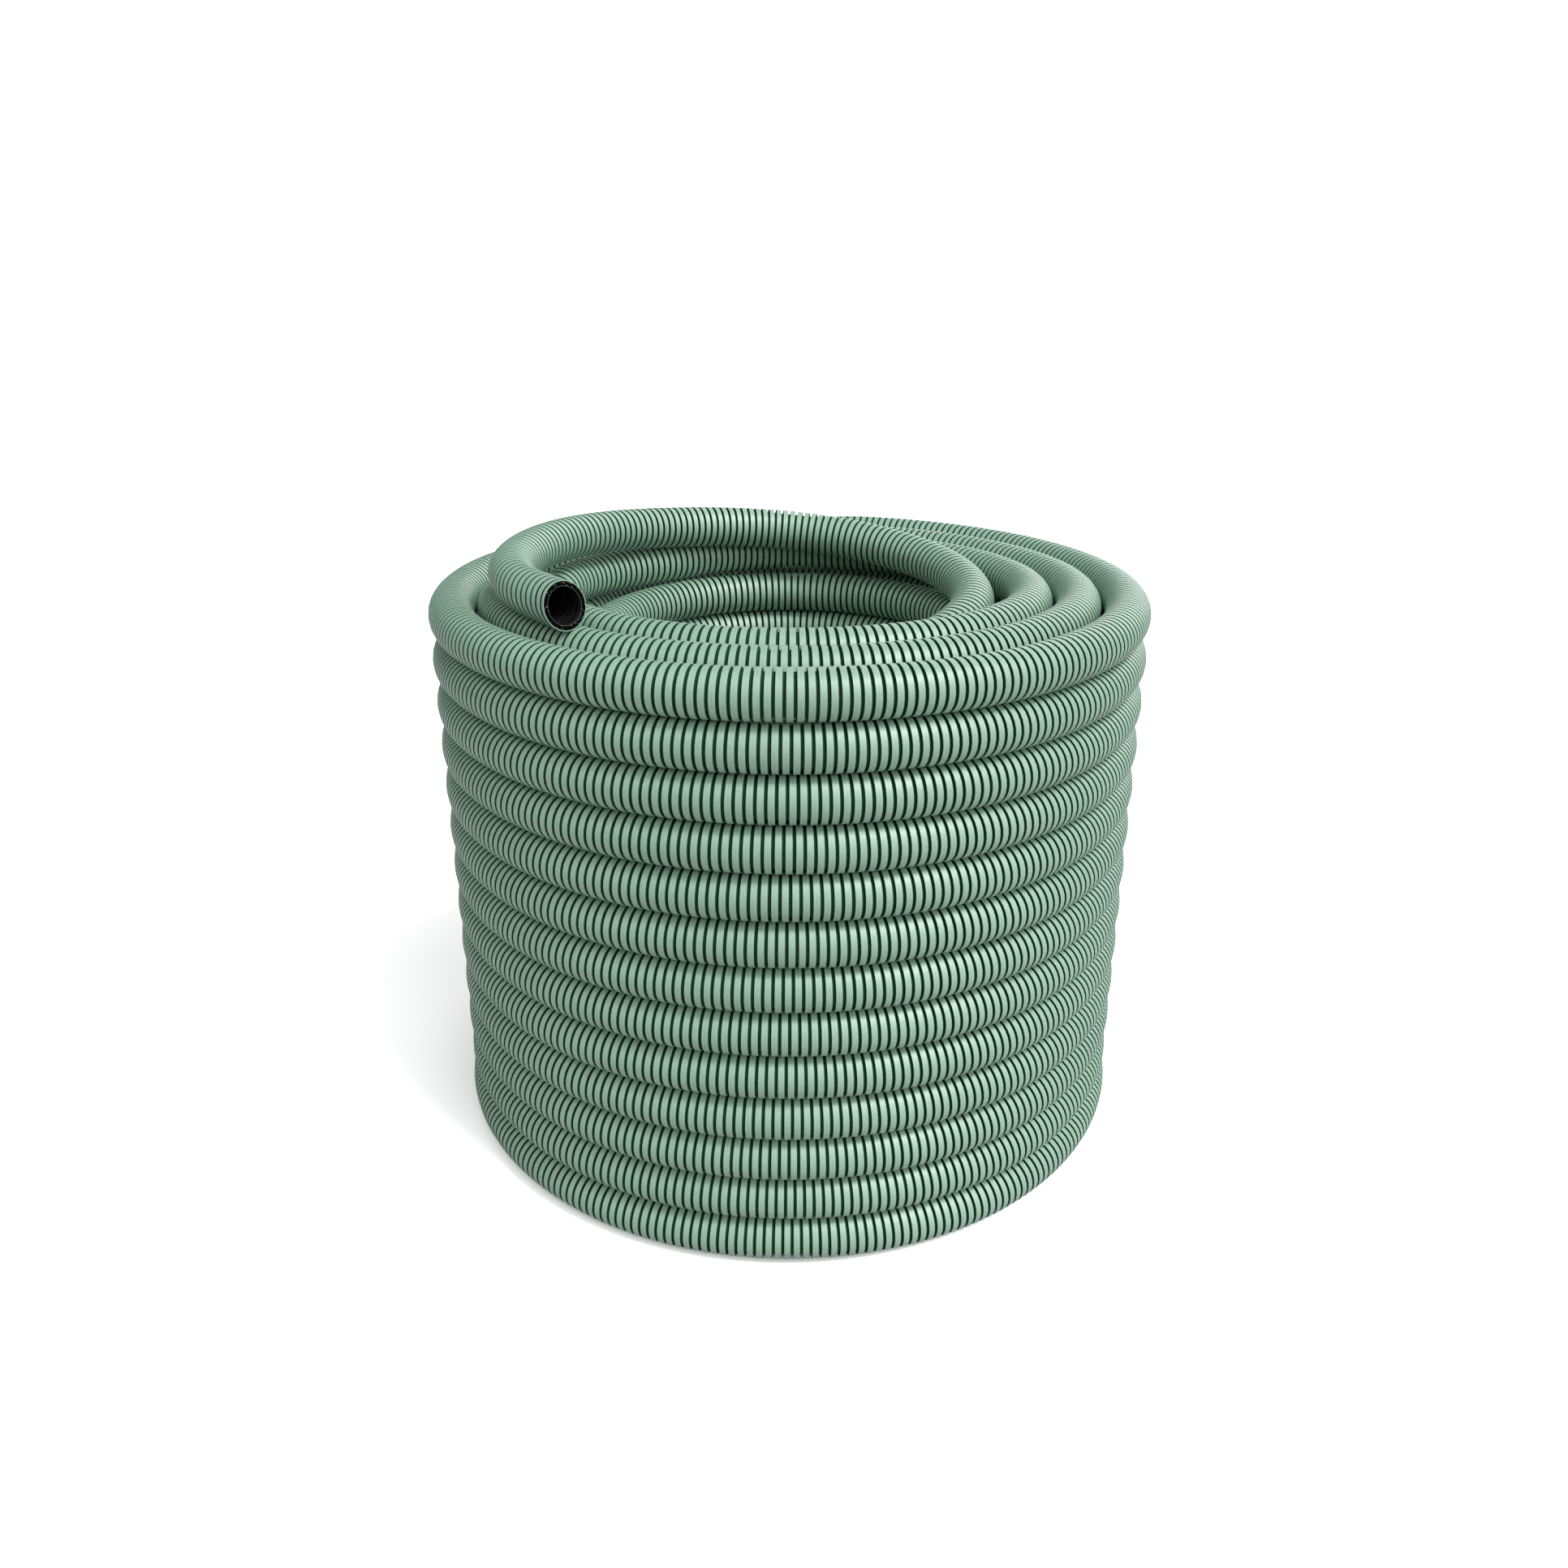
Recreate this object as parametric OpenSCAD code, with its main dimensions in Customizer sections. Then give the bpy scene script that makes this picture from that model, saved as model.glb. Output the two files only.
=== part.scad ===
// Ribbed soaker hose, wound into an upright coil.
// A porous rubber wall lies inside a thin ribbed sheath, with a smooth liner in the bore.
// The turns stand in stacked levels. The innermost turn springs up at the top,
// crosses the rings under it and ends in an open cut end. The other cut end is
// tucked away in the top ring under it.
// Z = 0 is the surface that the coil stands on, and the Z axis is the middle of the coil.

/* [Hose] */
// Outside diameter of the hose, over its ribs
hose_od = 17; // [14:0.5:24]
// Thickness of the hose from its bore to the top of a rib
wall = 2; // [2:0.1:3]
// Distance from one rib to the next
rib_pitch = 3.2; // [3:0.1:5]
// Width of the groove between two ribs
groove_w = 1.1; // [0.8:0.1:1.4]
// Depth of the groove between two ribs
groove_depth = 1.4; // [0.8:0.1:1.5]
// Thickness of the sheath over ribs and grooves
sheath = 0.3; // [0.2:0.05:0.35]
// Thickness of the liner in the bore
liner = 0.2; // [0.1:0.05:0.2]

/* [Coil] */
// Radius of the innermost column of turns, to the middle of the hose
inner_r = 76; // [70:1:120]
// Turns that stand on each other in the outermost column
levels = 13; // [10:1:14]
// Slack between one column of turns and the next
column_slack = 1.5; // [0.8:0.1:3]
// Slack between one level and the next
level_slack = 0.1; // [0:0.05:0.5]
// How far the lowest outer turn stands out from the turns over it
foot_spread = 1; // [0:0.5:2]
// Turns of the innermost column that stand free of the core
free_levels = 6; // [3:1:6]

/* [Cut ends] */
// Ribs on the straight piece at each cut end
end_ribs = 6; // [5:1:7]
// Ribs on the curved hose behind the open cut end
curved_ribs = 60; // [20:5:60]

/* [Hidden] */
$fn = 64;

hose_r = hose_od / 2;
bore_r = hose_r - wall;
// A turn is drawn this much thinner than the hose, so that no two turns touch
turn_gap = 0.5;
turn_r = hose_r - turn_gap / 2;
turn_sides = 6;
turn_step = 15;
end_sides = 8;

// Columns of turns, from the inside out, and the height of a level's middle
columns = 4;
column_step = hose_od + column_slack;
outer_r = inner_r + (columns - 1) * column_step;
level_step = hose_od + level_slack;
function level_z(level) = hose_r + (level - 1) * level_step;

// Angles are measured from the back (+Y), clockwise seen from above.
// The outermost column climbs from one level to the next between these angles.
climb_from = -30;
climb_to = 15;
// Its top turn moves in to the second ring between these angles
shift_from = -75;
shift_to = -30;
// The innermost column climbs anticlockwise, between these angles
inner_climb_from = 165;
inner_climb_to = 60;
// Where the wound stretches begin and end against the core's stops
outer_start = 46;
second_ring_end = 266;
third_ring_start = -98;
third_ring_end = 226;
inner_start = 50;
stop_angle = 6;

// The second and third rings at the top are oval: half widths along X and Y
second_ring = [outer_r - 1.06 * hose_od, outer_r - 1.42 * hose_od];
third_ring = [outer_r - 2.13 * hose_od, outer_r - 2.7 * hose_od];
// The third ring bows in over the innermost column around this angle
bow_angle = -48;
bow_half_angle = 52;
bow_in = hose_r;

// The free end springs out of the innermost column at this angle, on this level.
joint_angle = 215;
joint_level = levels - 1;
joint_lead = 31;
lead_r = 3 * inner_r / (2 + cos(joint_lead));
// Its route's guide points: angle, distance out from the innermost column, and
// height over the top level's middle, both in hose diameters
free_guides = [
    [157, 0.00, -0.65], [129, -0.02, -0.27], [98, 0.04, -0.05], [66, 0.00, 0.18],
    [34, 0.00, 0.42], [0, 0.00, 0.73], [-37, 0.10, 0.92], [-70, 0.58, 1.14],
    [-94, 1.38, 1.21], [-113.5, 2.24, 1.09], [-130, 2.33, 0.97], [-145, 2.12, 1.00]
];

// ---- positions ----
function at(angle, r, z) = [r * sin(angle), r * cos(angle), z];
function clockwise(angle) = [cos(angle), -sin(angle), 0];
function unit(v) = v / norm(v);
// 0 before the start, 1 after the end, and a smooth rise between
function ease(x) = let (t = min(max(x, 0), 1)) t * t * (3 - 2 * t);
// Distance of an oval ring from the Z axis
function oval_r(ring, angle) = 1 / norm([sin(angle) / ring[0], cos(angle) / ring[1]]);

// ---- routes ----
// A stretch ends straight for one hose diameter, square to what it meets
function with_start(start, dir, points) =
    concat([start, start + hose_od * dir], points);
function with_end(points, end, dir) =
    concat(points, [end - hose_od * dir, end]);

// Levels climbed after a travel in degrees, with one climb in each turn
function climbed(travel, from, to, count) =
    count == 0 ? 0
    : ease((travel - from - 360 * (count - 1)) / (to - from))
      + climbed(travel, from, to, count - 1);

// Outermost column, then the second ring at the top
outer_end = 360 * levels + second_ring_end;
function outer_point(travel) =
    let (
        level = 1 + climbed(travel, 360 + climb_from, 360 + climb_to, levels - 1),
        foot = 1 - ease((travel - 360 - climb_from) / (climb_to - climb_from)),
        moved = ease((travel - 360 * levels - shift_from) / (shift_to - shift_from)),
        r = (outer_r + foot * foot_spread) * (1 - moved) + oval_r(second_ring, travel) * moved
    )
    at(travel, r, level_z(level));
function outer_route(step) = with_end(
    with_start(
        outer_point(outer_start), clockwise(outer_start),
        [for (a = [outer_start + 23 : step : outer_end - 15]) outer_point(a)]
    ),
    outer_point(outer_end), clockwise(second_ring_end)
);

// Third ring at the top, up to the tucked cut end's straight piece
function top_bow(angle) = bow_in * (1 - ease(abs(angle - bow_angle) / bow_half_angle));
function top_point(angle) =
    at(angle, oval_r(third_ring, angle) - top_bow(angle), level_z(levels));
function top_route(step) = concat(
    with_start(
        top_point(third_ring_start), clockwise(third_ring_start),
        [for (a = [third_ring_start + 23 : step : third_ring_end - 20]) top_point(a)]
    ),
    [tucked_base - hose_od * tucked_dir, tucked_base]
);
tucked_base = top_point(third_ring_end);
tucked_dir = unit(top_point(third_ring_end + 12) - tucked_base);

// Innermost column, anticlockwise and up to the free end
inner_travel = 360 * (free_levels - 1) + inner_start + 360 - joint_angle;
inner_climb_start = inner_start + 360 - inner_climb_from;
inner_climb_end = inner_start + 360 - inner_climb_to;
function inner_level(travel) =
    joint_level - free_levels + 1
    + climbed(travel, inner_climb_start, inner_climb_end, free_levels - 1);
function inner_point(travel) =
    at(inner_start - travel, inner_r, level_z(inner_level(travel)));
function inner_route(step) = with_end(
    with_start(
        inner_point(0), -clockwise(inner_start),
        [for (a = [30 : step : inner_travel - 20]) inner_point(a)]
    ),
    inner_point(inner_travel), -clockwise(joint_angle)
);

// Free end: a smooth curve drawn by its guide points
guides = concat(
    [for (k = [1, 0, -1]) at(joint_angle + k * joint_lead, lead_r, level_z(joint_level))],
    [for (g = free_guides) at(g[0], inner_r + g[1] * hose_od, level_z(levels) + g[2] * hose_od)]
);
function curve_at(u) =
    let (i = min(floor(u), len(guides) - 4), t = u - i)
    (
        pow(1 - t, 3) * guides[i]
        + (3 * pow(t, 3) - 6 * pow(t, 2) + 4) * guides[i + 1]
        + (-3 * pow(t, 3) + 3 * pow(t, 2) + 3 * t + 1) * guides[i + 2]
        + pow(t, 3) * guides[i + 3]
    ) / 6;
curve_steps = 16;
curve_end = len(guides) - 3;
// Length along the curve against the curve's own parameter
curve_table = [
    for (
        i = 0, s = 0;
        i <= curve_end * curve_steps;
        s = s + norm(curve_at((i + 1) / curve_steps) - curve_at(i / curve_steps)), i = i + 1
    ) [s, i / curve_steps]
];
free_length = curve_table[len(curve_table) - 1][0];
joint = curve_at(0);
joint_dir = -clockwise(joint_angle);
end_base = curve_at(curve_end);
end_dir = unit(guides[len(guides) - 1] - guides[len(guides) - 3]);
function free_point(s) =
    s <= hose_od ? joint + s * joint_dir
    : s >= free_length - hose_od ? end_base - (free_length - s) * end_dir
    : curve_at(lookup(s, curve_table));

// Plain rings up to the ribs, then a ring on each rib and one in each groove
ribs_from = free_length - curved_ribs * rib_pitch;
plain_rings = max(4, round(ribs_from / hose_od));
plain_stations = [
    for (i = [0 : plain_rings - 1])
        i == 1 ? hose_od : i * ribs_from / plain_rings
];
rib_stations = [for (i = [0 : 2 * curved_ribs]) ribs_from + i * rib_pitch / 2];
outside_stations = concat(plain_stations, rib_stations);
outside_radii = concat(
    [for (s = plain_stations) hose_r],
    [for (i = [0 : 2 * curved_ribs]) hose_r - (i % 2) * groove_depth]
);
bore_rings = round(free_length / hose_od);
bore_stations = [
    for (i = [0 : bore_rings])
        i == 1 ? hose_od : i == bore_rings - 1 ? free_length - hose_od
        : i * free_length / bore_rings
];

// ---- swept tubes ----
function directions(p) = [
    for (i = [0 : len(p) - 1])
        unit(p[min(i + 1, len(p) - 1)] - p[max(i - 1, 0)])
];
function ring(centre, dir, r, sides) =
    let (across = unit(cross(dir, [0, 0, 1])), up = cross(across, dir))
    [for (k = [0 : sides - 1]) centre + r * (cos(360 * k / sides) * across + sin(360 * k / sides) * up)];
function rings(p, radii, sides) =
    let (d = directions(p))
    [for (i = [0 : len(p) - 1]) each ring(p[i], d[i], radii[i], sides)];
// Two triangles for each face of the skin between the rings from number first on
function skin(first, count, sides, inside = false) = [
    for (i = [0 : count - 2], k = [0 : sides - 1])
        let (
            a = first + i * sides + k, b = first + i * sides + (k + 1) % sides,
            c = b + sides, d = a + sides
        )
        each inside ? [[a, d, c], [a, c, b]] : [[a, b, c], [a, c, d]]
];

module solid_tube(p, r, sides) {
    last = (len(p) - 1) * sides;
    polyhedron(
        rings(p, [for (q = p) r], sides),
        concat(
            skin(0, len(p), sides),
            [for (k = [1 : sides - 2]) [0, k + 1, k]],
            [for (k = [1 : sides - 2]) [last, last + k, last + k + 1]]
        )
    );
}

module hollow_tube(p, radii, bore_p, r, sides) {
    bore = len(p) * sides;
    last = (len(p) - 1) * sides;
    bore_last = bore + (len(bore_p) - 1) * sides;
    polyhedron(
        concat(rings(p, radii, sides), rings(bore_p, [for (q = bore_p) r], sides)),
        concat(
            skin(0, len(p), sides),
            skin(bore, len(bore_p), sides, true),
            [for (k = [0 : sides - 1]) let (m = (k + 1) % sides)
                each [[k, bore + k, bore + m], [k, bore + m, m]]],
            [for (k = [0 : sides - 1]) let (m = (k + 1) % sides)
                each [[last + k, last + m, bore_last + m], [last + k, bore_last + m, bore_last + k]]]
        )
    );
}

// Least gap between turns of one tube, or between two tubes, on their middle lines
function own_gap(p, loop) =
    min([for (i = [0 : len(p) - 1], j = [i + loop / 2 : min(i + 1.5 * loop, len(p) - 1)])
        norm(p[i] - p[j])]) - 2 * turn_r;
function gap_between(p, q) =
    min([for (a = p, b = q) norm(a - b)]) - turn_r - hose_r;

// ---- the hose's layers at a cut end ----
// The ribbed outline, set in from the outside of the hose by depth
function ribbed(depth) = [
    for (i = [0 : end_ribs - 1])
        let (
            low = hose_r - groove_depth - depth, high = hose_r - depth,
            rise = i * rib_pitch + groove_w / 2 + depth,
            fall = (i + 1) * rib_pitch - groove_w / 2 - (i == end_ribs - 1 ? 0 : depth)
        )
        each concat(
            [[low, i == 0 ? 0 : rise - groove_w - 2 * depth], [low, rise], [high, rise], [high, fall]],
            i == end_ribs - 1 ? [] : [[low, fall]]
        )
];
end_length = end_ribs * rib_pitch - groove_w / 2;

module on_end(base, dir) {
    translate(base)
        rotate([0, acos(dir[2]), atan2(dir[1], dir[0])])
            children();
}

module layer(outside, inside) {
    rotate_extrude()
        polygon(concat(outside, [for (i = [len(inside) - 1 : -1 : 0]) inside[i]]));
}

module cut_sheath() {
    color([0.68, 0.82, 0.73]) layer(ribbed(0), ribbed(sheath));
}

module cut_wall() {
    color([0.09, 0.09, 0.09])
        layer(ribbed(sheath), [[bore_r + liner, 0], [bore_r + liner, end_length]]);
}

module cut_liner() {
    color([0.3, 0.31, 0.31]) difference() {
        cylinder(h = end_length, r = bore_r + liner);
        translate([0, 0, -1]) cylinder(h = end_length + 2, r = bore_r);
    }
}

// ---- sub-parts ----
module outer_turns() {
    echo(least_gap_in_outer_turns = own_gap(outer_route(5), 360 / 5));
    color([0.66, 0.8, 0.71]) solid_tube(outer_route(turn_step), turn_r, turn_sides);
}

module top_turn() {
    echo(least_gap_to_outer_turns = gap_between(top_route(5), outer_route(5)));
    color([0.66, 0.8, 0.71]) solid_tube(top_route(turn_step), turn_r, turn_sides);
}

module inner_turns() {
    echo(least_gap_in_inner_turns = own_gap(inner_route(5), 360 / 5));
    color([0.6, 0.75, 0.65]) solid_tube(inner_route(turn_step), turn_r, turn_sides);
}

module free_end() {
    middle = [for (i = [0 : 120]) free_point(free_length * i / 120)];
    echo(free_end_length = free_length + end_length);
    echo(least_gap_over_outer_turns = gap_between(outer_route(5), middle));
    echo(least_gap_over_top_turn = gap_between(top_route(5), middle));
    echo(least_gap_over_inner_turns = gap_between(
        inner_route(5), [for (p = middle) if (p[2] > level_z(joint_level) + hose_r) p]
    ));
    color([0.68, 0.82, 0.73]) hollow_tube(
        [for (s = outside_stations) free_point(s)], outside_radii,
        [for (s = bore_stations) free_point(s)], bore_r, end_sides
    );
}

// The turns that can't be seen stand as one ring, stepped for the free turns. The
// innermost column's lower turns are beads on its inner side.
core_clear = 0.5;
core_top = (levels - 1) * level_step;
ledge_level = joint_level - free_levels;
ledge_top = ledge_level * level_step;
ledge_inside = inner_r - 0.8 * hose_r;
core_outside = outer_r - hose_r - core_clear;
core_step = inner_r + hose_r + core_clear;
core_beads = [
    for (level = [ledge_level : -1 : 1], tilt = [60, 20, -20, -60])
        [inner_r - hose_r * cos(tilt), level_z(level) + hose_r * sin(tilt)]
];

module stop(from, low_r, high_r, bottom, height) {
    translate([0, 0, bottom])
        rotate([0, 0, 90 - from - stop_angle])
            rotate_extrude(angle = stop_angle)
                translate([low_r, 0]) square([high_r - low_r, height]);
}

// A ramp fills the ledge under the first free turn's climb, up to the stop. Its top
// is a tilted plane that stays clear of the turn.
ramp_clear = 1.8;
ramp_middle = (inner_climb_from + inner_climb_to) / 2;
ramp_half = (inner_climb_from - inner_climb_to) / 2;
ramp_slope = atan(level_step / (2 * inner_r * sin(ramp_half)));

module ramp() {
    difference() {
        translate([0, 0, ledge_top - hose_r / 2])
            rotate([0, 0, 90 - inner_climb_from])
                rotate_extrude(angle = inner_climb_from - inner_start - stop_angle / 2)
                    translate([ledge_inside + core_clear, 0])
                        square([core_step - ledge_inside, level_step + hose_r]);
        translate([0, 0, ledge_top + level_step / 2 - ramp_clear])
            rotate([0, -ramp_slope, 180 - ramp_middle])
                translate([-core_step, -core_step, 0]) cube(2 * core_step);
    }
}

module wound_core() {
    side = 0.8 * hose_r;
    stop_height = hose_od - 2 * turn_gap;
    second_r = oval_r(second_ring, second_ring_end);
    third_r = oval_r(third_ring, third_ring_start);
    color([0.2, 0.33, 0.27]) {
        rotate_extrude(angle = 360, $fn = 128) polygon(concat(
            [[inner_r, 0], [core_outside, 0], [core_outside, core_top]],
            [[core_step, core_top], [core_step, ledge_top], [inner_r, ledge_top]],
            core_beads
        ));
        stop(outer_start - stop_angle, core_outside - 1, outer_r + side, 0, stop_height);
        stop(second_ring_end, second_r - side, second_r + side, core_top - 1, stop_height + 1);
        stop(third_ring_start - stop_angle, third_r - side, third_r + side, core_top - 1, stop_height + 1);
        stop(inner_start, ledge_inside, core_step + 1, ledge_top - hose_r, stop_height + hose_r);
        ramp();
    }
}

module end_sheath() { on_end(end_base, end_dir) cut_sheath(); }
module end_wall() { on_end(end_base, end_dir) cut_wall(); }
module end_liner() { on_end(end_base, end_dir) cut_liner(); }
module tucked_sheath() { on_end(tucked_base, tucked_dir) cut_sheath(); }
module tucked_wall() { on_end(tucked_base, tucked_dir) cut_wall(); }
module tucked_liner() { on_end(tucked_base, tucked_dir) cut_liner(); }

outer_turns();
top_turn();
inner_turns();
free_end();
wound_core();
end_sheath();
end_wall();
end_liner();
tucked_sheath();
tucked_wall();
tucked_liner();
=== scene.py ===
"""Ribbed soaker hose wound into an upright coil: how it looks.

The whole hose is drawn along one line, from its open cut end to its tucked one.
The line springs off the innermost column of turns, goes down that column, out
over the ground, up the outermost column, and down and up the two between them.
"""
import math

import bpy
import numpy as np
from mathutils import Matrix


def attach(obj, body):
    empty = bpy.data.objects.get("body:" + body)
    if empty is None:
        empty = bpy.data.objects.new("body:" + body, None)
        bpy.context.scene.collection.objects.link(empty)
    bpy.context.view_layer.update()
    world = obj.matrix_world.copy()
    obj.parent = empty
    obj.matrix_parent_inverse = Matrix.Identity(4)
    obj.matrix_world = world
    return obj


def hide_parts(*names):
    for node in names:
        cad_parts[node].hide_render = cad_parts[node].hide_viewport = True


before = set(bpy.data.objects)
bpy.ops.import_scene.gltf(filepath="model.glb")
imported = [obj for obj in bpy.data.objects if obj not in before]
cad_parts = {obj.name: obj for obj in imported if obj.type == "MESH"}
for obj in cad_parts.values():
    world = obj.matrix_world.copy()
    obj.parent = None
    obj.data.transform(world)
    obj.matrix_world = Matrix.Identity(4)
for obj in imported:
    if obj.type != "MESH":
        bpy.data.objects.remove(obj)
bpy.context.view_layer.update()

MM = 0.001
BODY = "root"

# ---- the hose ----
HOSE_OD = 17.0 * MM
HOSE_R = HOSE_OD / 2
BORE_R = 6.5 * MM
LINER = 0.2 * MM
SHEATH = 0.3 * MM
RIB_PITCH = 3.18 * MM
GROOVE_DEPTH = 1.5 * MM
# Straight stretch at each cut end
CUT_END = 18.65 * MM
# One rib: distances from the crown's middle in rib pitches, and depths under the crown
RIB_PROFILE = [
    (-0.325, 0.06 * MM), (-0.305, 0.0), (0.305, 0.0), (0.325, 0.06 * MM),
    (0.34, GROOVE_DEPTH), (0.66, GROOVE_DEPTH),
]
HIDDEN_PROFILE = [(-0.32, 0.0), (0.32, 0.0), (0.34, GROOVE_DEPTH), (0.66, GROOVE_DEPTH)]
SIDES = 24
HIDDEN_SIDES = 12
# Faces that meet at less than this many degrees are shaded as one
SMOOTH_ANGLE = 30

# The porous wall: rings every so often, a little in from both cut ends, a thin skin
# deep, and sunk under the grooves, deeper where no bore shows how thick it is
WALL_STEP = 8 * MM
WALL_INSET = 0.3 * MM
WALL_SKIN = 0.05 * MM
WALL_SUNK = 0.27 * MM
WALL_SUNK_AT_ENDS = 0.13 * MM
WALL_SIDES = 10

# The cut ends: how far the layers' faces fold back, the rings and sides of a cut
# face, and the ripples of the bore, which is drawn this far in from each end
RIM_BACK = 4 * MM
FACE_BACK = 8 * MM
LINER_BACK = 3 * MM
FACE_RINGS = 9
FACE_SIDES = 96
OPEN_BORE = 90.0 * MM
BORE_RINGS = 400
BORE_SIDES = 48
RIPPLE = 0.18 * MM
RIPPLE_MIDDLE = BORE_R - 0.15 * MM

# ---- the coil ----
LEVELS = 13
LEVEL_STEP = 17.1 * MM
INNER_R = 76.0 * MM
COLUMN_STEP = 18.5 * MM
FOOT_SPREAD = 1.0 * MM
COLUMN_R = [INNER_R + k * COLUMN_STEP for k in range(4)]
SECOND_RING = (COLUMN_R[3] - 1.06 * HOSE_OD, COLUMN_R[3] - 1.42 * HOSE_OD)
THIRD_RING = (COLUMN_R[3] - 2.13 * HOSE_OD, COLUMN_R[3] - 2.70 * HOSE_OD)

# The third ring bows in over the innermost column around this travel
BOW_AT = 17592.0
BOW_HALF = 52.0
BOW_IN = HOSE_R

# The free end leaves the innermost column at the joint, where three guide points a
# lead apart follow that column. The others have their angle, distance out from the
# column and height over the top level's middle, in hose diameters.
JOINT_ANGLE = 215.0
JOINT_LEVEL = LEVELS - 1
JOINT_LEAD = 31.0
FREE_STEPS = 60
FREE_GUIDES = [
    (157, 0.00, -0.65), (129, -0.02, -0.27), (98, 0.04, -0.05), (66, 0.00, 0.18),
    (34, 0.00, 0.42), (0, 0.00, 0.73), (-37, 0.10, 0.92), (-70, 0.58, 1.14),
    (-94, 1.38, 1.21), (-113.5, 2.24, 1.09), (-130, 2.33, 0.97), (-145, 2.12, 1.00),
]
# The cut is a little out of square: the way its face looks, and how far along the
# hose the ribs turn to lie square to the hose again
CUT_FACES = (0.68, -0.70, 0.21)
CUT_TURNS_OVER = 90.0 * MM

# Clockwise travel in degrees from the back, along the whole hose. Each move from
# one column or level to the next has its first start, its width, the travel
# to the next one and how many there are.
INNER_DESCENTS = (420.0, 105.0, 360.0, 11)
TO_THIRD_COLUMN = (4372.0, 55.0)
TO_SECOND_COLUMN = (4705.0, 50.0)
TO_OUTER_COLUMN = (5040.0, 45.0)
OUTER_CLIMBS = (5370.0, 45.0, 360.0, 12)
TO_SECOND_RING = (9645.0, 45.0)
SECOND_DESCENTS = (9980.0, 38.0, 344.0, 11)
BACK_TO_THIRD = (13750.0, 45.0)
THIRD_CLIMBS = (14080.0, 38.0, 344.1, 11)
THIRD_LAST = THIRD_CLIMBS[0] + THIRD_CLIMBS[2] * (THIRD_CLIMBS[3] - 1)
TUCKED_ANGLE = 17866.0
TRAVEL_STEP = 0.25
# The tucked end points at where the third ring would be this much further on
TUCKED_AHEAD = 12
# The hose is hidden from two levels down the second column to one turn before the
# last climb up the third one
OUT_OF_SIGHT = SECOND_DESCENTS[0] + 398
IN_SIGHT_AGAIN = THIRD_LAST - 360


# ---- the hose's middle line ----
def level_z(level):
    """Height of a level's middle. Level 1 lies on the ground."""
    return HOSE_R + (level - 1) * LEVEL_STEP


def at(angle, r, z):
    """Points at clockwise angles from the back, in metres."""
    a = np.radians(angle)
    return np.stack(np.broadcast_arrays(r * np.sin(a), r * np.cos(a), z), axis=-1)


def ease(angle, start, width):
    """0 before the start, 1 after the width, and a smooth rise between."""
    t = np.clip((angle - start) / width, 0, 1)
    return t * t * (3 - 2 * t)


def moves(angle, start, width, step, count):
    """How many of a row of equal moves are done."""
    return sum(ease(angle, start + i * step, width) for i in range(count))


def oval_r(ring, angle):
    """Distance from the axis to an oval ring, by its half widths across and front to back."""
    a = np.radians(angle)
    return 1 / np.hypot(np.sin(a) / ring[0], np.cos(a) / ring[1])


def third_ring_r(angle):
    """The third ring, bowed in at one place."""
    bow = 1 - ease(abs(angle - BOW_AT), 0, BOW_HALF)
    return oval_r(THIRD_RING, angle) - BOW_IN * bow


def wound_level(angle):
    """The level on which the hose lies, whole or in between."""
    return (
        JOINT_LEVEL
        - moves(angle, *INNER_DESCENTS)
        + moves(angle, *OUTER_CLIMBS)
        - moves(angle, *SECOND_DESCENTS)
        + moves(angle, *THIRD_CLIMBS)
    )


def wound_r(angle):
    """Distance from the coil's axis, moved from one column or ring to the next."""
    inner, third, second, outer = COLUMN_R
    lanes = [
        (TO_THIRD_COLUMN, third), (TO_SECOND_COLUMN, second),
        (TO_OUTER_COLUMN, outer + FOOT_SPREAD), (OUTER_CLIMBS[:2], outer),
        (TO_SECOND_RING, oval_r(SECOND_RING, angle)), (SECOND_DESCENTS[:2], second),
        (BACK_TO_THIRD, third), ((THIRD_LAST, THIRD_CLIMBS[1]), third_ring_r(angle)),
    ]
    r = inner + 0 * angle
    for (start, width), lane in lanes:
        r = r + (lane - r) * ease(angle, start, width)
    return r


def wound_point(angle):
    return at(angle, wound_r(angle), level_z(wound_level(angle)))


def free_guides():
    """Guide points from the joint to the open end."""
    lead_r = 3 * INNER_R / (2 + math.cos(math.radians(JOINT_LEAD)))
    lead = [at(JOINT_ANGLE + k * JOINT_LEAD, lead_r, level_z(JOINT_LEVEL)) for k in (1, 0, -1)]
    free = [
        at(angle, INNER_R + out * HOSE_OD, level_z(LEVELS) + up * HOSE_OD)
        for angle, out, up in FREE_GUIDES
    ]
    return np.array(lead + free)


def smooth_curve(guides, steps):
    """A uniform cubic B-spline through a row of guide points."""
    spans = len(guides) - 3
    u = np.linspace(0, spans, spans * steps + 1)
    i = np.minimum(u.astype(int), spans - 1)
    t = (u - i)[:, None]
    return (
        (1 - t) ** 3 * guides[i]
        + (3 * t**3 - 6 * t**2 + 4) * guides[i + 1]
        + (-3 * t**3 + 3 * t**2 + 3 * t + 1) * guides[i + 2]
        + t**3 * guides[i + 3]
    ) / 6


def unit(v):
    return v / np.linalg.norm(v, axis=-1, keepdims=True)


# The hose's direction at a point is taken this far to both sides of it
REACH = 1.5 * MM


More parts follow.
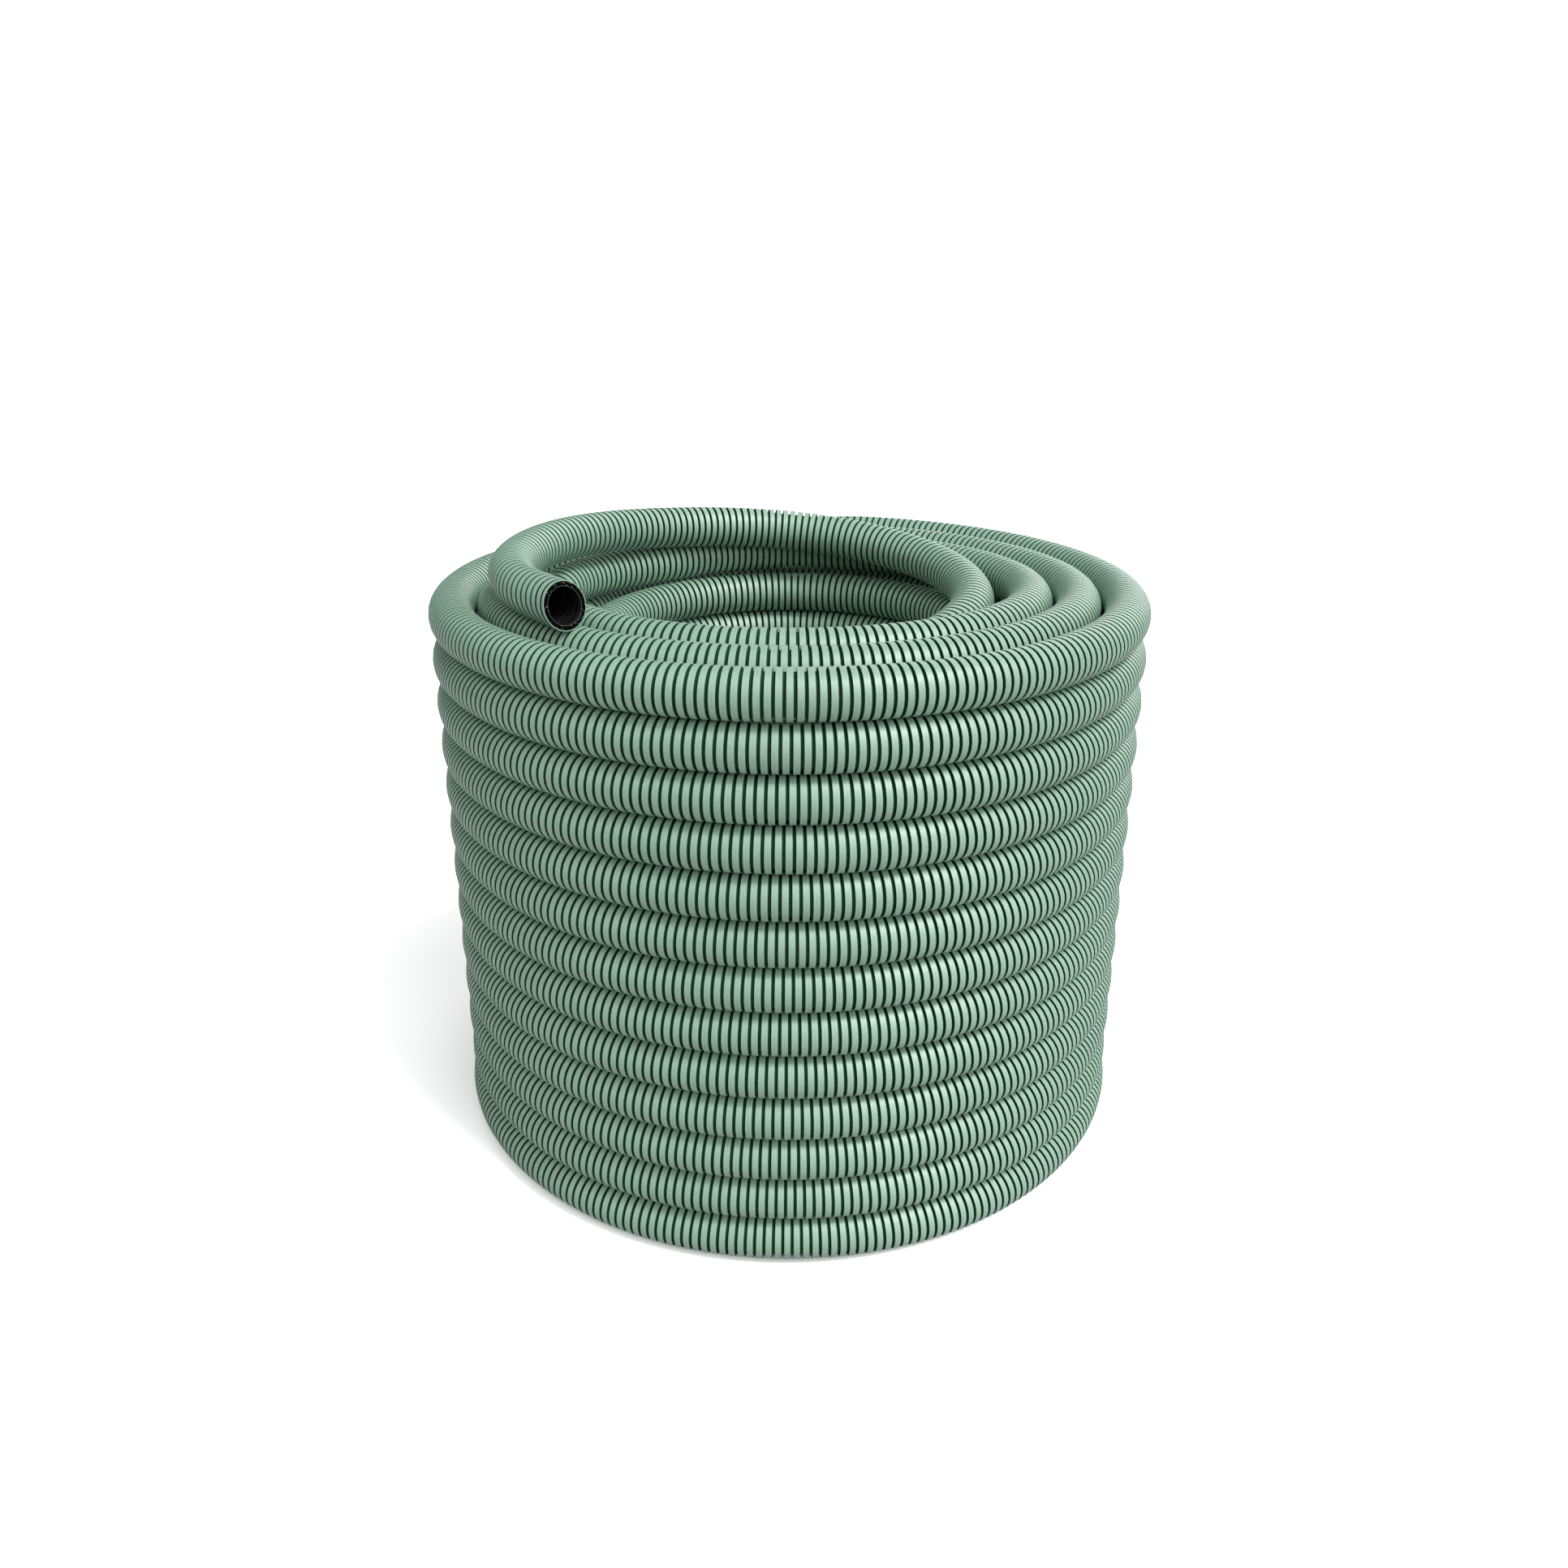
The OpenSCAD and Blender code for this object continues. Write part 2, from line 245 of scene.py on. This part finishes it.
class HoseLine:
    """The hose's middle line, by its length from the open cut end."""

    def __init__(self):
        guides = free_guides()
        free = smooth_curve(guides, FREE_STEPS)[::-1]
        tip = free[0] + CUT_END * unit(guides[-1] - guides[-3])
        travel = np.arange(JOINT_ANGLE, TUCKED_ANGLE, TRAVEL_STEP)[1:]
        wound = np.vstack([wound_point(travel), wound_point(np.array([TUCKED_ANGLE]))])
        base = wound[-1]
        ahead_angle = TUCKED_ANGLE + TUCKED_AHEAD
        ahead = at(ahead_angle, oval_r(THIRD_RING, ahead_angle), base[2])
        self.points = np.vstack([tip, free, wound, base + CUT_END * unit(ahead - base)])
        steps = np.linalg.norm(np.diff(self.points, axis=0), axis=1)
        self.lengths = np.concatenate([[0], np.cumsum(steps)])
        self.length = self.lengths[-1]
        self.travel = np.concatenate([travel, [TUCKED_ANGLE]])
        self.travel_lengths = self.lengths[1 + len(free):-1]

    def point(self, s):
        return np.stack([np.interp(s, self.lengths, self.points[:, k]) for k in range(3)], -1)

    def length_at(self, angle):
        return float(np.interp(angle, self.travel, self.travel_lengths))

    def frames(self, s):
        """Points on the line, and two directions square to it at each of them."""
        low = np.clip(s - REACH, 0, self.length - REACH)
        high = np.clip(s + REACH, REACH, self.length)
        along = unit(self.point(high) - self.point(low))
        square = ease(s, 0.0, CUT_TURNS_OVER)[:, None]
        along = unit(square * along - (1 - square) * np.array(CUT_FACES))
        across = unit(np.cross(along, [0.0, 0.0, 1.0]))
        return self.point(s), across, np.cross(across, along)


# ---- meshes ----
# Across, this map counts ribs from the open cut end. Up, it goes once round the hose.
UV_NAME = "along_and_round"


def new_object(name, vertices, quads, uv, material):
    mesh = bpy.data.meshes.new(name)
    mesh.vertices.add(len(vertices))
    mesh.vertices.foreach_set("co", np.ascontiguousarray(vertices, dtype=np.float32).ravel())
    mesh.loops.add(quads.size)
    mesh.loops.foreach_set("vertex_index", quads.astype(np.int32).ravel())
    mesh.polygons.add(len(quads))
    mesh.polygons.foreach_set("loop_start", np.arange(0, quads.size, 4, dtype=np.int32))
    mesh.polygons.foreach_set("use_smooth", np.ones(len(quads), dtype=bool))
    layer = mesh.uv_layers.new(name=UV_NAME)
    layer.data.foreach_set("uv", np.ascontiguousarray(uv, dtype=np.float32).ravel())
    mesh.update(calc_edges=True)
    mesh.set_sharp_from_angle(angle=math.radians(SMOOTH_ANGLE))
    mesh.materials.append(material)
    obj = bpy.data.objects.new(name, mesh)
    bpy.context.scene.collection.objects.link(obj)
    return obj


def ring_points(line, stations, radii, sides):
    """Points round the line: one ring for each station and radius."""
    centre, across, up = line.frames(stations)
    turn = np.arange(sides) * 2 * np.pi / sides
    out = (
        np.cos(turn)[None, :, None] * across[:, None, :]
        + np.sin(turn)[None, :, None] * up[:, None, :]
    )
    return centre[:, None, :] + radii[:, None, None] * out


def tube(name, line, stations, radii, sides, material):
    """Rings along the line, joined by quads. It can turn back inside itself."""
    stations = np.asarray(stations, dtype=float)
    radii = np.asarray(radii, dtype=float)
    vertices = ring_points(line, stations, radii, sides).reshape(-1, 3)
    i = np.arange(len(stations) - 1)[:, None]
    k = np.arange(sides)[None, :]
    a = i * sides + k
    b = i * sides + (k + 1) % sides
    quads = np.stack([a, b, b + sides, a + sides], axis=-1).reshape(-1, 4)
    here = stations[i] / RIB_PITCH
    there = stations[i + 1] / RIB_PITCH
    u = np.stack([here, here, there, there], axis=-1)
    v = np.stack([k, k + 1, k + 1, k], axis=-1) / sides
    uv = np.stack(np.broadcast_arrays(u, v), axis=-1).reshape(-1, 2)
    return new_object(name, vertices, quads, uv, material)


def ribs(first, last, profile):
    """Ring stations and radii from one crown's middle to another's."""
    index = np.arange(first, last)[:, None]
    offset = np.array([p[0] for p in profile])[None, :]
    depth = np.array([p[1] for p in profile])
    stations = ((index + offset) * RIB_PITCH).ravel()
    return stations, np.tile(HOSE_R - depth, last - first)


def ribbed_tube(name, line, first, last, material, profile, sides):
    """A stretch of sheath from one rib to another, kept within the hose's length."""
    stations, radii = ribs(first, last, profile)
    closing = (last + profile[0][0]) * RIB_PITCH
    stations = np.append(stations, closing)
    radii = np.append(radii, HOSE_R - profile[0][1])
    keep = (stations >= 0) & (stations <= line.length)
    return tube(name, line, stations[keep], radii[keep], sides, material)


# ---- materials ----
def node_material(name):
    """A material with one shader, its node tree and that shader."""
    material = bpy.data.materials.new(name)
    material.use_nodes = True
    tree = material.node_tree
    tree.nodes.clear()
    output = tree.nodes.new("ShaderNodeOutputMaterial")
    shader = tree.nodes.new("ShaderNodeBsdfPrincipled")
    tree.links.new(shader.outputs[0], output.inputs[0])
    return material, tree, shader


def srgb(r, g, b):
    """A colour given in screen values 0 to 255, as linear light."""
    c = np.array([r, g, b]) / 255
    return (*np.where(c <= 0.04045, c / 12.92, ((c + 0.055) / 1.055) ** 2.4), 1.0)


def ramp(tree, fac, stops):
    node = tree.nodes.new("ShaderNodeValToRGB")
    elements = node.color_ramp.elements
    while len(elements) < len(stops):
        elements.new(0.5)
    for element, (position, colour) in zip(elements, stops):
        element.position = position
        element.color = colour
    tree.links.new(fac, node.inputs[0])
    return node.outputs[0]


def noise(tree, vector, scale, detail=3.0, roughness=0.5):
    node = tree.nodes.new("ShaderNodeTexNoise")
    node.inputs["Scale"].default_value = scale
    node.inputs["Detail"].default_value = detail
    node.inputs["Roughness"].default_value = roughness
    tree.links.new(vector, node.inputs["Vector"])
    return node.outputs["Fac"]


def math_node(tree, operation, *values):
    node = tree.nodes.new("ShaderNodeMath")
    node.operation = operation
    for socket, value in zip(node.inputs, values):
        if isinstance(value, (int, float)):
            socket.default_value = value
        else:
            tree.links.new(value, socket)
    return node.outputs[0]


def mix(tree, fac, a, b, blend="MIX"):
    node = tree.nodes.new("ShaderNodeMix")
    node.data_type = "RGBA"
    node.blend_type = blend
    for socket, value in ((node.inputs[0], fac), (node.inputs[6], a), (node.inputs[7], b)):
        if isinstance(value, (int, float, tuple)):
            socket.default_value = value
        else:
            tree.links.new(value, socket)
    return node.outputs[2]


def between(tree, value, low, high, interpolation="LINEAR"):
    """0 at the low value, 1 at the high one and held beyond both."""
    node = tree.nodes.new("ShaderNodeMapRange")
    node.interpolation_type = interpolation
    node.inputs["From Min"].default_value = low
    node.inputs["From Max"].default_value = high
    tree.links.new(value, node.inputs["Value"])
    return node.outputs["Result"]


def object_position(tree):
    return tree.nodes.new("ShaderNodeTexCoord").outputs["Object"]


def along_hose(tree):
    """Distance from the open cut end, in ribs."""
    uv = tree.nodes.new("ShaderNodeUVMap")
    uv.uv_map = UV_NAME
    parts = tree.nodes.new("ShaderNodeSeparateXYZ")
    tree.links.new(uv.outputs[0], parts.inputs[0])
    return parts.outputs[0]


def add_bump(tree, shader, height, strength, distance):
    bump = tree.nodes.new("ShaderNodeBump")
    bump.inputs["Strength"].default_value = strength
    bump.inputs["Distance"].default_value = distance
    tree.links.new(height, bump.inputs["Height"])
    tree.links.new(bump.outputs[0], shader.inputs["Normal"])


# Parts of a rib, by their distance from the crown's middle in rib pitches: the fine
# line on the crown, and the side where the green turns into the grooves' painted shade
CROWN_LINE = (0.05, 0.02)
GROOVE_SHADE_EDGE = (0.318, 0.328)
LINES_PER_RIB = 6


def sheath_material(name):
    """Satin light green plastic with a fine line on each crown, and painted shade in the
    grooves.
    """
    material, tree, shader = node_material(name)
    position = object_position(tree)
    along = along_hose(tree)
    from_crown = math_node(tree, "PINGPONG", along, 0.5)
    broad = noise(tree, position, 18.0, 2.0)
    fine = noise(tree, position, 900.0, 4.0)
    colour = ramp(tree, broad, [(0.3, srgb(140, 175, 154)), (0.7, srgb(146, 181, 160))])
    speck = ramp(tree, fine, [(0.35, (0.94, 0.94, 0.94, 1)), (0.65, (1.04, 1.04, 1.04, 1))])
    colour = mix(tree, 1.0, colour, speck, "MULTIPLY")
    middle = between(tree, from_crown, *CROWN_LINE)
    colour = mix(tree, math_node(tree, "MULTIPLY", middle, 0.12), colour, srgb(58, 103, 78))
    # The grooves get a darker green: painted shade for the recess between the ribs. The same
    # mask also takes the gloss out of the grooves and roughens them.
    groove_and_shade = between(tree, from_crown, *GROOVE_SHADE_EDGE)
    colour = mix(tree, groove_and_shade, colour, srgb(36, 84, 58))
    tree.links.new(colour, shader.inputs["Base Color"])
    rough = math_node(tree, "MULTIPLY_ADD", fine, 0.12, 0.40)
    rough = math_node(tree, "MULTIPLY_ADD", groove_and_shade, 0.35, rough)
    tree.links.new(rough, shader.inputs["Roughness"])
    gloss = math_node(tree, "MULTIPLY_ADD", groove_and_shade, -0.9, 0.9)
    tree.links.new(gloss, shader.inputs["Coat Weight"])
    shader.inputs["Coat Roughness"].default_value = 0.5
    shader.inputs["Coat IOR"].default_value = 1.92
    shader.inputs["Specular IOR Level"].default_value = 0.2
    turns = math_node(tree, "MULTIPLY", along, 2 * math.pi * LINES_PER_RIB)
    lines = math_node(tree, "SINE", turns)
    grain = math_node(tree, "MULTIPLY_ADD", lines, 0.30, fine)
    grain = math_node(tree, "MULTIPLY_ADD", middle, -0.6, grain)
    add_bump(tree, shader, grain, 0.25, 0.05 * MM)
    return material


def crumb_material():
    """Black crumb rubber with pale crumbs and small open pores."""
    material, tree, shader = node_material("porous_wall")
    position = object_position(tree)
    crumbs = tree.nodes.new("ShaderNodeTexVoronoi")
    crumbs.inputs["Scale"].default_value = 3200.0
    tree.links.new(position, crumbs.inputs["Vector"])
    pick = tree.nodes.new("ShaderNodeSeparateColor")
    tree.links.new(crumbs.outputs["Color"], pick.inputs[0])
    pale = math_node(tree, "GREATER_THAN", pick.outputs[0], 0.93)
    inside = math_node(tree, "LESS_THAN", crumbs.outputs["Distance"], 0.42)
    speck = math_node(tree, "MULTIPLY", pale, inside)
    colour = mix(tree, speck, srgb(5, 5, 5), srgb(165, 167, 165))
    tree.links.new(colour, shader.inputs["Base Color"])
    shader.inputs["Roughness"].default_value = 0.9
    shader.inputs["Specular IOR Level"].default_value = 0.05
    pores = noise(tree, position, 3200.0, 5.0, 0.7)
    add_bump(tree, shader, pores, 0.4, 0.12 * MM)
    return material


def liner_material():
    """Smooth black liner, slightly shiny, with a painted highlight on its edge at the open cut
    end.
    """
    material, tree, shader = node_material("liner")
    mottle = noise(tree, object_position(tree), 700.0)
    tone = ramp(tree, mottle, [(0.3, srgb(18, 18, 19)), (0.7, srgb(27, 27, 29))])
    # A lighter grey at the bore's edge by the open cut end: a painted highlight on that edge.
    edge = between(tree, along_hose(tree), 0.06, 0.02)
    tree.links.new(mix(tree, edge, tone, srgb(74, 76, 75)), shader.inputs["Base Color"])
    shader.inputs["Roughness"].default_value = 0.32
    shader.inputs["Specular IOR Level"].default_value = 0.35
    return material


# ---- camera, floor and light ----
# Fitted to the coil's outline and turns on the photo. It looks down by this many radians.
CAMERA_AT = (-0.00211, -0.50063, 0.33279)
CAMERA_DOWN = 0.3822
LENS_MM = 29.19
SENSOR_MM = 36.0

# The floor looks white outside the shadow, and throws less light up at the coil
FLOOR_HALF = 6.0
FLOOR_SEEN = (1.8, 1.8, 1.8, 1)
FLOOR_THROWN = (0.45, 0.45, 0.45, 1)

# One far light: azimuth from the front towards the right, elevation and width in
# degrees, and strength
KEY = (54, 58, 14, 1.82)

# Large soft lights of the studio: direction, cosines of the angles at which each
# fades out and is full, and strength
SOFT_LIGHTS = [
    ((0.0, 0.0, 1.0), 0.12, 1.0, 0.28),
    ((0.84, -0.58, 0.85), 0.70, 1.0, 1.65),
    ((-0.94, -0.34, 0.80), 0.70, 1.0, 0.96),
    ((0.30, -0.90, 0.35), 0.75, 1.0, 0.84),
    ((0.45, 0.85, 0.25), 0.85, 0.97, 1.80),
]
# The light from all other directions, and the backdrop's as the camera sees it
DIM_ROOM = 0.007
WHITE_ROOM = 10.0


def add_camera():
    data = bpy.data.cameras.new("camera")
    data.lens = LENS_MM
    data.sensor_width = SENSOR_MM
    camera = bpy.data.objects.new("camera", data)
    camera.location = CAMERA_AT
    camera.rotation_euler = (math.pi / 2 - CAMERA_DOWN, 0, 0)
    bpy.context.scene.collection.objects.link(camera)
    bpy.context.scene.camera = camera


def add_floor():
    corners = FLOOR_HALF * np.array([[-1, -1, 0], [1, -1, 0], [1, 1, 0], [-1, 1, 0]])
    material, tree, shader = node_material("floor")
    seen = tree.nodes.new("ShaderNodeLightPath").outputs["Is Camera Ray"]
    colour = mix(tree, seen, FLOOR_THROWN, FLOOR_SEEN)
    tree.links.new(colour, shader.inputs["Base Color"])
    shader.inputs["Roughness"].default_value = 1.0
    shader.inputs["Specular IOR Level"].default_value = 0.0
    floor = new_object("floor", corners, np.array([[0, 1, 2, 3]]), corners[:, :2], material)


def add_key(azimuth, elevation, spread, strength):
    """A far light from that side, as wide in the sky as its spread."""
    data = bpy.data.lights.new("key", "SUN")
    data.angle = math.radians(spread)
    data.energy = strength
    light = bpy.data.objects.new("key", data)
    light.rotation_euler = (math.pi / 2 - math.radians(elevation), 0, math.radians(azimuth))
    bpy.context.scene.collection.objects.link(light)


def towards(tree, facing, direction, low, high):
    """0 to 1 as the angle to a direction closes, from one cosine to another."""
    dot = tree.nodes.new("ShaderNodeVectorMath")
    dot.operation = "DOT_PRODUCT"
    dot.inputs[1].default_value = unit(np.array(direction))
    tree.links.new(facing, dot.inputs[0])
    return between(tree, dot.outputs["Value"], low, high, "SMOOTHSTEP")


def add_world():
    """White to the camera. The soft lights are overhead, right, left, in front and behind."""
    world = bpy.data.worlds.new("studio")
    world.use_nodes = True
    tree = world.node_tree
    background = tree.nodes["Background"]
    background.inputs["Color"].default_value = (1, 1, 1, 1)
    facing = tree.nodes.new("ShaderNodeTexCoord").outputs["Generated"]
    light = DIM_ROOM
    for direction, low, high, strength in SOFT_LIGHTS:
        lit = towards(tree, facing, direction, low, high)
        light = math_node(tree, "MULTIPLY_ADD", lit, strength, light)
    seen = tree.nodes.new("ShaderNodeLightPath").outputs["Is Camera Ray"]
    light = math_node(tree, "MAXIMUM", light, math_node(tree, "MULTIPLY", seen, WHITE_ROOM))
    tree.links.new(light, background.inputs["Strength"])
    bpy.context.scene.world = world
    bpy.context.scene.view_settings.view_transform = "Standard"


# ---- the making ----
add_camera()
line = HoseLine()
sheath = sheath_material("sheath")
hidden = sheath_material("hidden_sheath")
wall = crumb_material()
liner = liner_material()

# Stretches of the sheath: name, travel where each starts, and number of pieces
STRETCHES = [
    ("inner_turns", JOINT_ANGLE, 3), ("bottom_turns", TO_THIRD_COLUMN[0], 1),
    ("outer_turns", TO_OUTER_COLUMN[0], 6), ("second_ring", TO_SECOND_RING[0], 1),
    ("hidden_turns", OUT_OF_SIGHT, 2), ("third_ring", IN_SIGHT_AGAIN, 1),
]
# The CAD node that each of them replaces, where there is one
CAD_NODES = {
    "inner_turns": "inner_turns", "outer_turns": "outer_turns", "third_ring": "top_turn",
    "hidden_turns": "wound_core",
}


def rib_index(s):
    return int(round(s / RIB_PITCH))


def make_sheath():
    """The sheath, in stretches from the open cut end to the tucked one."""
    last_rib = rib_index(line.length)
    starts = [rib_index(line.length_at(travel)) for _, travel, _ in STRETCHES] + [last_rib]
    made = [open_end_sheath(starts[0])]
    for (name, _, count), first, last in zip(STRETCHES, starts, starts[1:]):
        plain = name == "hidden_turns"
        profile, sides = (HIDDEN_PROFILE, HIDDEN_SIDES) if plain else (RIB_PROFILE, SIDES)
        cuts = np.linspace(first, last, count + 1).astype(int)
        for number, (a, b) in enumerate(zip(cuts, cuts[1:]), 1):
            label = f"sheath_{name}_{number}" if count > 1 else f"sheath_{name}"
            piece = ribbed_tube(label, line, a, b, hidden if plain else sheath, profile, sides)
            if name in CAD_NODES:
                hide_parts(CAD_NODES[name])
            made.append(piece)
    return made


def open_end_sheath(last):
    """The free end's sheath, with the rim that shows at the cut."""
    stations, radii = ribs(0, last, RIB_PROFILE)
    keep = stations > 0
    edge, edge_depth = RIB_PROFILE[0]
    closing = (last + edge) * RIB_PITCH
    stations = np.concatenate([[RIM_BACK, 0.0, 0.0], stations[keep], [closing]])
    radii = np.concatenate([[HOSE_R - SHEATH] * 2, [HOSE_R], radii[keep], [HOSE_R - edge_depth]])
    piece = tube("sheath_free_end", line, stations, radii, SIDES * 2, sheath)
    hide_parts("free_end", "end_sheath")
    return piece


def make_wall():
    """The porous wall right under the sheath, along the whole hose."""
    count = int(line.length / WALL_STEP)
    stations = np.linspace(WALL_INSET, line.length - WALL_INSET, count)
    near_an_end = (stations < OPEN_BORE) | (stations > line.length - OPEN_BORE)
    outside = HOSE_R - GROOVE_DEPTH - np.where(near_an_end, WALL_SUNK_AT_ENDS, WALL_SUNK)
    inside = outside - WALL_SKIN
    loop = np.concatenate([stations, stations[::-1], stations[:1]])
    radii = np.concatenate([outside, inside, outside[:1]])
    piece = tube("porous_wall", line, loop, radii, WALL_SIDES, wall)
    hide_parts("end_wall", "tucked_wall")
    return piece, line.point(stations)


def make_end(name, tip, back):
    """The cut face of the wall, and the liner in the bore. Back is 1 or -1 along the hose."""
    depth = FACE_BACK * back
    wall_r, liner_r = HOSE_R - SHEATH, BORE_R + LINER
    face = [
        (tip + depth, wall_r), (tip, wall_r),
        *[(tip, r) for r in np.linspace(wall_r, liner_r, FACE_RINGS)],
        (tip + depth, liner_r),
    ]
    end_wall = tube(f"{name}_wall", line, *np.array(face).T, FACE_SIDES, wall)
    bore = np.linspace(0, OPEN_BORE, BORE_RINGS)
    ripples = RIPPLE * np.cos(2 * np.pi * bore / RIB_PITCH)
    stations = tip + back * np.concatenate([[LINER_BACK, 0], bore])
    radii = np.concatenate([[liner_r] * 2, RIPPLE_MIDDLE + ripples])
    end_liner = tube(f"{name}_liner", line, stations, radii, BORE_SIDES, liner)
    return [end_wall, end_liner]


pieces = make_sheath()
hose, path = make_wall()
open_end = make_end("open_end", 0.0, 1)
tucked_end = make_end("tucked_end", line.length, -1)
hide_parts("end_liner")
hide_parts("tucked_liner")
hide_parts("tucked_sheath")
pieces += open_end + tucked_end
for piece in pieces + [hose]:
    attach(piece, BODY)

add_floor()
add_world()
add_key(*KEY)

print("hose length", round(line.length, 3))
